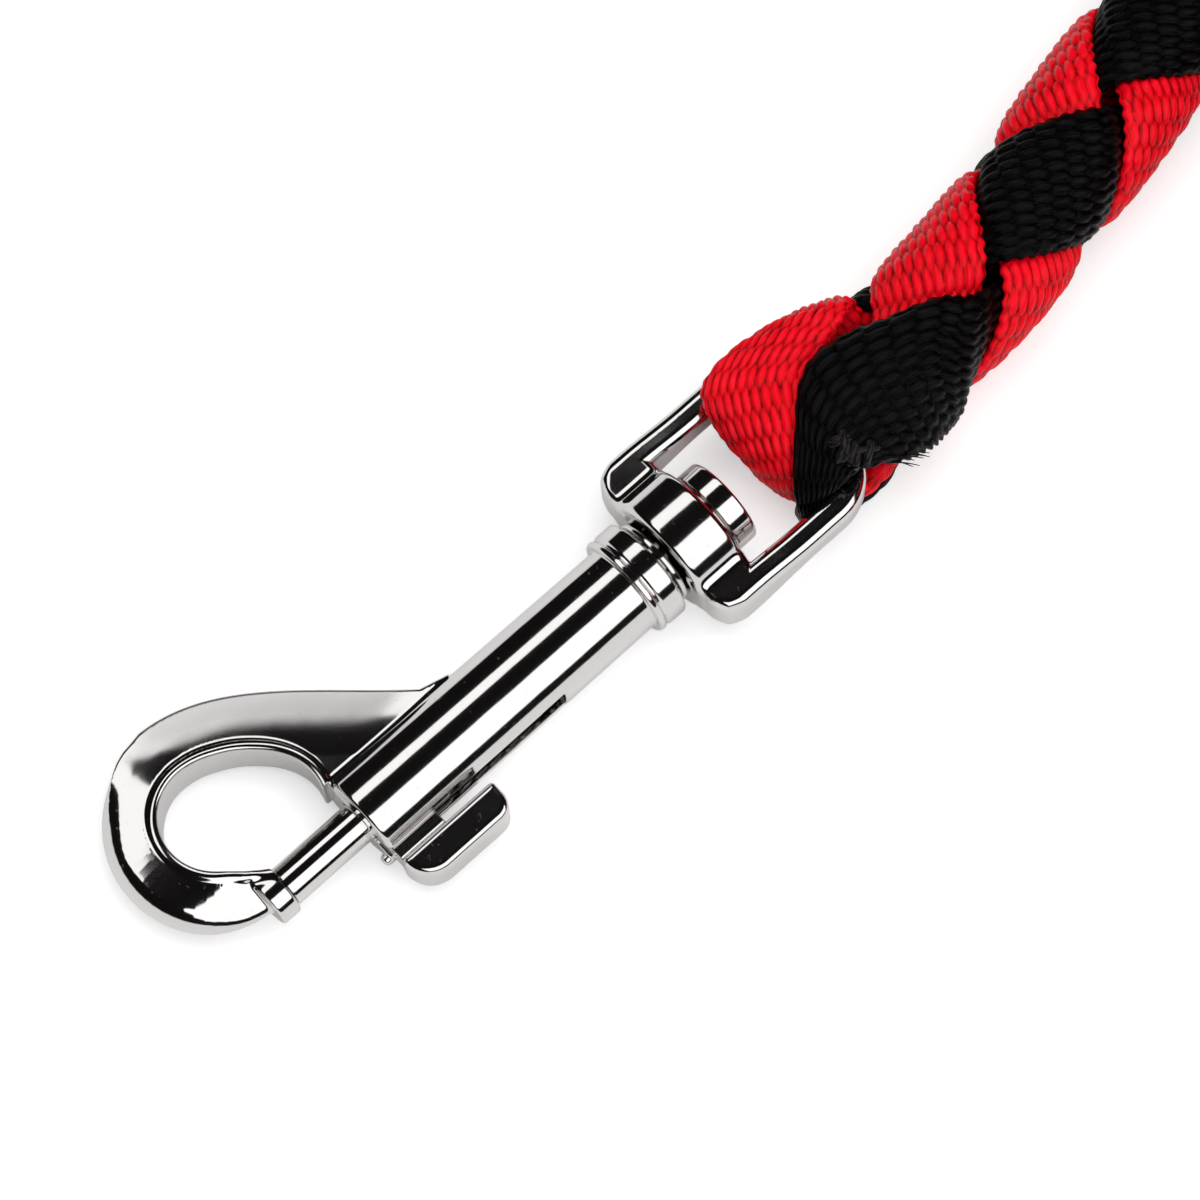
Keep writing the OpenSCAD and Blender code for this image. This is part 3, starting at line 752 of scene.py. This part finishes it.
def eye_distance(x, y, z):
    side = abs(y)
    boss = shaft(x, y, z, BOSS_D, BASE_FRONT, BASE_REAR, 0.9)
    end = BAR_D / 2
    inner_r = CORNER_R - ARM_W
    outer = rounded([side - EYE_OUT, x - end, BASE_FRONT - x], 0)
    past = np.hypot(np.maximum(x - end + CORNER_R, 0), np.maximum(side - EYE_OUT + CORNER_R, 0))
    outer = np.maximum(outer, past - CORNER_R)
    chamfer = (side - x - EYE_OUT + BASE_FRONT + 2.4 * math.sqrt(2) / 2) / math.sqrt(2)
    inner_y = EYE_OUT - ARM_W
    inner = np.maximum(np.maximum(side - inner_y, x + end), BASE_REAR - x)
    past = np.hypot(np.maximum(x + end + inner_r, 0), np.maximum(side - inner_y + inner_r, 0))
    inner = np.maximum(inner, past - inner_r)
    deep = ARM_THICK / 2 + (BASE_THICK - ARM_THICK) / 2 * (1 - smooth(x, BASE_REAR - 2, BASE_REAR + 7))
    deep = deep - (ARM_THICK - BAR_D) / 2 * smooth(x, -5, -0.5)
    ring = rounded([outer, chamfer, -inner, abs(z) - deep], 1.25)
    eye = join(ring, boss, 0.9)
    return cut(eye, shaft(x, y, z, SHANK_D + 0.5, BASE_FRONT - 1, BASE_REAR + 1), 0.35)


def tab_distance(x, y, z):
    start, outer = MOUTH + 0.1, -PAD_IN - PAD_T
    nose, tail = 3.6, 2.2
    end = start + PAD_LEN
    box = [start - x, x - end, y + PAD_IN, outer - y]
    plan = rounded(box, 0.6)
    front = np.hypot(np.minimum(x - start - nose, 0), np.minimum(y - outer - nose, 0)) - nose
    rear = np.hypot(np.maximum(x - end + tail, 0), np.minimum(y - outer - tail, 0)) - tail
    plan = np.maximum(plan, np.maximum(front, rear))
    pad = rounded([plan, abs(z) - PAD_H / 2], 0.8)
    neck_x = MOUTH + 0.3
    neck = block(x, y, z, (neck_x, -PAD_IN - 1, -NECK_W / 2),
                 (neck_x + NECK_LEN, -ROD_D / 2, NECK_W / 2), 0.25)
    return join(pad, neck, 0.5)


def satin_web(x, y, z):
    """1 where the casting's web is left satin, near its outer edge, and 0 where it is bright."""
    edge = outline_distance(x, y, hook_outline(OUTLINE_DOWN))
    turn = hook_turn(x, y)
    near_edge = smooth(edge / crown_width(turn), -1.05, -0.3)
    return (1 - smooth(turn, WEB_FROM, WEB_TO)) * near_edge * smooth(y, 6, 8.5)


def shape(name, distance, low, high, material, satin=None):
    """A mesh of where distance is 0, found on a grid, moved onto the surface and given its exact normals."""
    axes = [np.arange(a, b + SHAPE_STEP, SHAPE_STEP) for a, b in zip(low, high)]
    x, y, z = np.meshgrid(*axes, indexing="ij", sparse=True)
    field = np.broadcast_to(distance(x, y, z), [len(a) for a in axes])
    inside = field < 0
    cells = [n - 1 for n in field.shape]
    total = np.zeros(cells + [4])
    crossings = []
    for axis in range(3):
        near, far = [tuple(slice(lo, hi) if k == axis else slice(None) for k in range(3))
                     for lo, hi in ((None, -1), (1, None))]
        places = np.argwhere(inside[near] != inside[far])
        others = [k for k in range(3) if k != axis]
        keep = np.all([(places[:, k] > 0) & (places[:, k] < cells[k]) for k in others], axis=0)
        places = places[keep]
        start = field[near][tuple(places.T)]
        end = field[far][tuple(places.T)]
        where = places.astype(float)
        where[:, axis] += start / (start - end)
        ring = []
        for a, b in ((1, 1), (0, 1), (0, 0), (1, 0)):
            cell = places.copy()
            cell[:, others[0]] -= a
            cell[:, others[1]] -= b
            ring.append(np.ravel_multi_index(cell.T, cells))
            flat = total.reshape(-1, 4)
            for k in range(3):
                np.add.at(flat[:, k], ring[-1], where[:, k])
            np.add.at(flat[:, 3], ring[-1], 1)
        ring = np.stack(ring, -1)
        turned = (start < 0) ^ (axis == 1)
        crossings.append(np.where(turned[:, None], ring, ring[:, ::-1]))
    flat = total.reshape(-1, 4)
    active = np.flatnonzero(flat[:, 3])
    number = np.full(len(flat), -1)
    number[active] = np.arange(len(active))
    points = flat[active, :3] / flat[active, 3:] * SHAPE_STEP + [a[0] for a in axes]
    small = 0.01
    for _ in range(4):
        slope = np.stack([distance(*(points + small * e).T) - distance(*(points - small * e).T)
                          for e in np.eye(3)], -1) / (2 * small)
        size = np.maximum((slope ** 2).sum(-1), 0.25)
        points = points - slope * (np.clip(distance(*points.T), -0.2, 0.2) / size)[:, None]
    values = {"satin": satin(*points.T)} if satin else None
    obj = make_mesh(name, laid(points), number[np.concatenate(crossings)].tolist(), material, values=values)
    obj.data.normals_split_custom_set_from_vertices(unit(laid(slope) - laid(slope * 0)).tolist())
    return obj


def lathe(name, profile, material, fillet=0.25, sides=96):
    """A turned piece: profile is (distance along the axis, radius), with its corners filleted."""
    spots = [profile[0]]
    for before, at, after in zip(profile, profile[1:], profile[2:]):
        before, at, after = (np.array(p, float) for p in (before, at, after))
        reach = min(fillet, 0.45 * np.linalg.norm(at - before), 0.45 * np.linalg.norm(after - at))
        a, b = at + unit(before - at) * reach, at + unit(after - at) * reach
        spots += [a + unit(before - at) * 0.03, a]
        spots += [(1 - t) ** 2 * a + 2 * t * (1 - t) * at + t * t * b for t in (0.25, 0.5, 0.75)]
        spots += [b, b + unit(after - at) * 0.03]
    spots = np.array(spots + [profile[-1]], float)
    turn = np.linspace(0, 2 * math.pi, sides, endpoint=False)
    rings = np.stack([np.broadcast_to(spots[:, :1], (len(spots), sides)),
                      spots[:, 1:] * np.cos(turn), spots[:, 1:] * np.sin(turn)], -1)
    verts, faces = skin(rings)
    return make_mesh(name, laid(verts), faces, material)


def tube(path, radius, sides=12):
    """Rings round a path of points."""
    ahead = unit(np.gradient(path, axis=0))
    across = unit(np.cross(ahead, (0.31, 0.12, 0.94)))
    up = np.cross(across, ahead)
    turn = np.linspace(0, 2 * math.pi, sides, endpoint=False)[:, None]
    radius = np.broadcast_to(radius, len(path))[:, None, None]
    return path[:, None] + radius * (np.cos(turn) * across[:, None] + np.sin(turn) * up[:, None])


def settle(obj, body, slot, *nodes):
    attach(obj, body)
    if nodes:
        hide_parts(*nodes)
    return obj


def make_metal():
    nickel, turned = materials["nickel"], materials["turned"]
    snap = shape("snap_casting", snap_distance, (-96, -8.5, -8), (-24, 25, 8), nickel, satin_web)
    settle(snap, "snap", "cast_nickel", "snap_body")
    eye = shape("eye_casting", eye_distance, (-25, -13, -9), (3.2, 13, 9), nickel)
    settle(eye, "eye", "cast_nickel", "swivel_eye")
    tab = shape("thumb_piece", tab_distance, (-70.5, -12.5, -4), (-54.5, -1.5, 4), nickel)
    settle(tab, "bolt", "turned_nickel", "thumb_tab")
    shank, plug, flange_x = SHANK_D / 2, BORE_D / 2, (COLLAR_REAR + BASE_FRONT - FLANGE_T) / 2
    step, head, head_x = HEAD_D / 2 - 0.8, HEAD_D / 2, BASE_REAR + 0.7
    flange = BARREL_REAR_D / 2
    stud = lathe("stud", [(PLUG_FRONT, 0.01), (PLUG_FRONT, plug), (COLLAR_REAR, plug), (COLLAR_REAR, shank),
                          (flange_x, shank), (flange_x, flange), (flange_x + FLANGE_T, flange),
                          (flange_x + FLANGE_T, shank), (BASE_REAR + 0.1, shank), (BASE_REAR + 0.1, step),
                          (head_x, step), (head_x, head), (head_x + HEAD_T, head), (head_x + HEAD_T, 0.01)],
                 turned, 0.5)
    settle(stud, "snap", "turned_nickel", "swivel_stud")
    tip, rod_tip = ROD_D / 2, TIP - NOSE_DEEP
    guide_front = GUIDE_REAR - GUIDE_LEN
    rod = lathe("bolt_rod", [(rod_tip, 0.01), (rod_tip, tip - 0.6), (rod_tip + 0.6, tip), (guide_front, tip),
                             (guide_front, GUIDE_D / 2), (GUIDE_REAR, GUIDE_D / 2), (GUIDE_REAR, 2.2),
                             (GUIDE_REAR + 4, 1.9), (GUIDE_REAR + 4, 0.01)], turned, 0.25)
    settle(rod, "bolt", "turned_nickel", "bolt")
    start, end = GUIDE_REAR + WIRE_D / 2 + 0.1, PLUG_FRONT - WIRE_D / 2 - 0.1
    t = np.linspace(0, 1, SPRING_TURNS * 28)
    turn = 2 * math.pi * SPRING_TURNS * t
    path = np.stack([start + (end - start) * t, SPRING_R * np.cos(turn), SPRING_R * np.sin(turn)], -1)
    verts, faces = skin(tube(laid(path), WIRE_D / 2))
    spring = make_mesh("spring_coil", verts, faces, materials["spring_steel"])
    settle(spring, "snap", "spring_steel", "bolt_spring")
    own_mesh(spring)


# ---------------------------------------------------------------- the straps

# Each row is an edge, the middle and the other edge, measured from the middle of the far bar. The red strap
# comes off the rope's far side, goes over the bar from its left corner, under it, and back to the near side.
RED_FOLD = [
    [(1.8, 7.2, -4.8), (7.2, 8.2, 0.6), (12.2, 6.4, 5.2)],
    [(2.0, 9.6, 0.2), (6.0, 8.8, 4.2), (10.6, 5.4, 6.6)],
    [(-2.2, 10.8, 3.7), (1.8, 8.4, 5.7), (7.0, 4.2, 6.8)],
    [(-8.0, 10.0, 3.9), (-4.0, 6.4, 5.8), (2.0, 2.6, 6.3)],
    [(-8.5, 6.2, 0.6), (-6.0, 2.6, 4.7), (-1.0, -1.4, 5.6)],
    [(-7.5, 2.8, -2.4), (-6.8, -1.4, 1.4), (-3.8, -5.2, 3.4)],
    [(-6.2, 1.6, -5.0), (-6.4, -3.2, -2.4), (-4.6, -5.9, 0.4)],
    [(-2.8, 0.6, -6.6), (-4.2, -4.4, -5.6), (-3.9, -7.6, -4.0)],
    [(2.0, -1.2, -7.0), (0.5, -6.0, -6.8), (-0.6, -8.8, -4.8)],
    [(7.0, -3.6, -7.0), (4.2, -7.2, -5.2), (2.6, -8.8, -2.8)],
    [(11.2, -6.2, -5.0), (7.4, -7.5, -2.8), (5.4, -7.9, -1.0)],
]
# The black strap comes along the top, turns down over the bar's right corner and goes back underneath.
BLACK_FOLD = [
    [(21.8, -2.9, 7.8), (16.2, -7.4, 4.8), (12.6, -10.2, -1.6)],
    [(18.6, -0.8, 8.4), (13.0, -5.4, 7.6), (10.6, -11.2, 0.0)],
    [(12.9, 1.0, 8.7), (8.6, -4.6, 8.4), (8.2, -11.7, 0.8)],
    [(8.0, 2.8, 8.6), (4.8, -4.0, 8.5), (5.8, -11.6, 2.0)],
    [(3.5, 3.6, 8.2), (1.6, -4.0, 8.2), (3.6, -11.4, 3.4)],
    [(-1.0, 1.6, 7.4), (-1.5, -4.6, 7.2), (1.4, -10.2, 4.6)],
    [(-4.3, -1.6, 6.2), (-3.5, -5.6, 5.6), (-0.2, -9.0, 4.6)],
    [(-6.9, -4.4, 3.4), (-4.9, -6.6, 4.4), (-1.6, -8.3, 4.3)],
    [(-8.1, -6.2, 0.2), (-6.6, -6.9, 0.8), (-4.2, -6.9, 2.2)],
    [(-8.0, -7.0, -4.0), (-6.4, -6.9, -4.2), (-4.4, -6.4, -3.8)],
    [(-2.5, -5.5, -6.9), (-1.5, -7.4, -6.8), (-0.5, -9.0, -6.0)],
    [(2.5, -3.4, -7.0), (3.0, -6.8, -6.9), (3.4, -9.2, -5.7)],
]
# For each strap: the starts of its strands, the joins, the hidden ends and the fold's rows.
STRAPS = {
    "red": ((-180, 0), (110, -60), (180, 0), RED_FOLD),
    "black": ((0, 180), (95, 110), (180, 180), BLACK_FOLD),
}

# Two points for each fold, near where it turns from the rope to the eye, whose arm lifts the strap's corner;
# strap_object does not use them beyond seeing that they are given.
BENDS = {"red": (BAR + (0, 5, 1), BAR + (-5, 11, 3)), "black": (BAR + (0, -5, 1), BAR + (-5, -11, 3))}

for colour, (starts, joins, hidden, fold_rows) in STRAPS.items():
    near = folded_strap(colour, starts, joins, hidden, fold_rows)
    for letter, start, stretch in (("a", starts[0], near[0]), ("b", starts[1], near[2])):
        far = strand_stretch(colour, start, FINE_TO - 0.5, knot_start, FAR_STEP, False)
        name = f"{colour}_strand_{letter}"
        strap_object(name, colour, [stretch, far])
    strap_object(colour + "_fold", colour, [near[1]], bends=BENDS[colour])
    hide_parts(colour + "_strap_fold")
    knot = [strand_stretch(colour, start, knot_start - 0.5, knot_end + TAIL_LEN, 0.5, True)
            for start in starts]
    strap_object("knot_" + colour, colour, knot)


def make_tacks():
    """Thread tacks where the black strap is drawn together over the bar's corner, and their frayed ends."""
    starts, joins, _, fold_rows = STRAPS["black"]
    rows = fold_surface("black", starts, joins, fold_rows)
    knots = chord(rows[:, 2])
    middle = knots[TACK_ROW]
    skins, uvs = [], []
    for k in range(TACKS):
        share = k / (TACKS - 1)
        jitter = scatter(k, 3.0) - 0.5, scatter(k, 7.0) - 0.5
        t = middle + (0.8 + 0.8 * scatter(k, 5.0)) * np.linspace(-1, 1, 14) + 1.6 * jitter[0]
        v = 0.1 + 0.5 * share + 0.3 * jitter[1] * np.linspace(-1, 1, 14)
        on = np.array([across_rows(spline(np.array([a]), knots, rows), np.array([[b]]))[0, 0]
                       for a, b in zip(t, v)])
        ahead = across_rows(spline(t + 0.1, knots, rows), v[:, None])[:, 0] - on
        side = across_rows(spline(t, knots, rows), v[:, None] + 0.02)[:, 0] - on
        out = unit(np.cross(unit(ahead), unit(side)))
        arch = STRAP_T / 2 - 0.1 + 0.45 * np.sin(np.linspace(0.1, math.pi - 0.1, 14)) ** 0.8
        verts, faces = skin(tube(on + out * arch[:, None], 0.5 + 0.16 * jitter[1]))
        skins.append((verts, faces))
        uvs.append(np.stack([np.full(len(verts), k * 2.0), np.linspace(0, 1, len(verts))], -1))
    for k in range(FRAYS):
        jitter = np.array([scatter(k, 11.0), scatter(k, 13.0), scatter(k, 17.0)]) - 0.5
        start = BAR + (1.8 + 0.3 * k, -10.4, 3.9)
        end = start + (2.4, -2.3, -1.0) + jitter * (1.2, 1.2, 1.6)
        t = np.linspace(0, 1, 8)[:, None]
        path = start * (1 - t) + end * t + (0, 0, 0.5) * np.sin(math.pi * t)
        verts, faces = skin(tube(path, 0.13 * (1 - 0.6 * t[:, 0]), 6))
        skins.append((verts, faces))
        uvs.append(np.stack([np.full(len(verts), k * 2.0), np.linspace(0, 1, len(verts))], -1))
    verts, faces = gather(skins)
    obj = make_mesh("tack_threads", verts, faces, materials["thread"], np.concatenate(uvs),
                    {"relief": np.ones(len(verts))})
    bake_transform(obj)
    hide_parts("bar_tacks")


def make_tie():
    """A strap round the coil, where the rope passes three times, its outer end lying over the start."""
    angle = math.radians(COIL_START - TIE_AT)
    along = np.array([math.sin(angle), -math.cos(angle), 0])
    outwards = np.array([math.cos(angle), math.sin(angle), 0])
    spread = np.array([coil_point(TIE_AT + 360 * k) for k in range(3)])
    centres = np.stack([(spread[:, :2] - COIL_CENTRE) @ outwards[:2], spread[:, 2]], -1)
    turn = np.radians(np.linspace(TIE_FROM, TIE_FROM + TIE_ROUND, 300))
    facing = np.stack([np.cos(turn), np.sin(turn)], -1)
    nearest = (centres @ facing.T).argmax(0)
    radius = ROPE_R - TIE_T / 2 + (TIE_T + 0.2) * smooth(turn, math.radians(395), math.radians(440))
    radius = radius - 0.6 * smooth(-np.sin(turn), 0.5, 0.95)
    loop = centres[nearest] + radius[:, None] * facing
    length = np.arange(0, chord(loop)[-1], 0.6)
    loop = np.stack([np.interp(length, chord(loop), loop[:, k]) for k in (0, 1)], -1)
    origin = np.array([*COIL_CENTRE, 0])

    def points(v):
        at = origin + loop[:, :1] * outwards + loop[:, 1:] * np.array([0, 0, 1.0])
        return at[:, None] + v[..., None] * along * TIE_W / 2 + np.zeros((len(loop), 1, 3))

    rings, uv = strap_rings(lambda v: points(np.broadcast_to(v, (len(loop), v.shape[1]))), length, False,
                            thick=TIE_T)
    obj = strap_object("tie_band", "tie", [(rings, uv, False)])
    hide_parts("coil_tie")
    return obj


make_tacks()
tie = make_tie()
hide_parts("rope_run", "rope_coil")
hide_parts("end_knot")

make_metal()

# ---------------------------------------------------------------- studio

# Places and sizes of the floor and lights are metres.
def area_light(name, at, towards, size, size_y, power, mirrored=True):
    data = bpy.data.lights.new(name, "AREA")
    data.shape = "RECTANGLE"
    data.size, data.size_y, data.energy = size, size_y, power
    obj = bpy.data.objects.new(name, data)
    obj.location = at
    obj.rotation_mode = "QUATERNION"
    obj.rotation_quaternion = (Vector(towards) - Vector(at)).to_track_quat("-Z", "Y")
    obj.visible_glossy = mirrored
    bpy.context.scene.collection.objects.link(obj)


def floor_material():
    """White ground: matt and lit by the lights, with a glow of its own that only the camera sees."""
    material, tree, shader = node_tree("floor")
    shader.inputs["Base Color"].default_value = (0.8, 0.8, 0.8, 1)
    shader.inputs["Roughness"].default_value = 1
    shader.inputs["Specular IOR Level"].default_value = 0
    path = add(tree, "LightPath")
    glow = add(tree, "Emission", {"Strength": 0.45})
    total = add(tree, "AddShader", {0: shader.outputs[0], 1: glow.outputs[0]})
    seen = path.outputs["Is Camera Ray"]
    mix = add(tree, "MixShader", {0: seen, 1: shader.outputs[0], 2: total.outputs[0]})
    out = tree.nodes["Material Output"]
    tree.links.new(mix.outputs[0], out.inputs["Surface"])
    return material


def make_studio():
    bpy.ops.mesh.primitive_plane_add(size=8, location=(0, 0, 0))
    floor = bpy.context.object
    floor.name = "floor"
    floor.data.materials.append(floor_material())
    area_light("softbox", (0, -0.85, 0.85), (0, 0, 0), 2.4, 1.1, 11)
    area_light("strip", (0, 0.55, 0.95), (0, 0, 0), 2.0, 0.42, 3.2)
    area_light("fill", (0.3, 0, 2.2), (0, 0, 0), 2.0, 2.0, 34, mirrored=False)
    world = bpy.data.worlds.new("world")
    bpy.context.scene.world = world
    world.use_nodes = True
    tree = world.node_tree
    path = add(tree, "LightPath")
    dark, white = tree.nodes["Background"], add(tree, "Background", {"Color": (1, 1, 1, 1), "Strength": 1.0})
    dark.inputs["Color"].default_value = (0.006, 0.0055, 0.0055, 1)
    mix = add(tree, "MixShader", {0: path.outputs["Is Camera Ray"], 1: dark.outputs[0], 2: white.outputs[0]})
    tree.links.new(mix.outputs[0], tree.nodes["World Output"].inputs["Surface"])
    bpy.context.scene.view_settings.view_transform = "Standard"


make_studio()
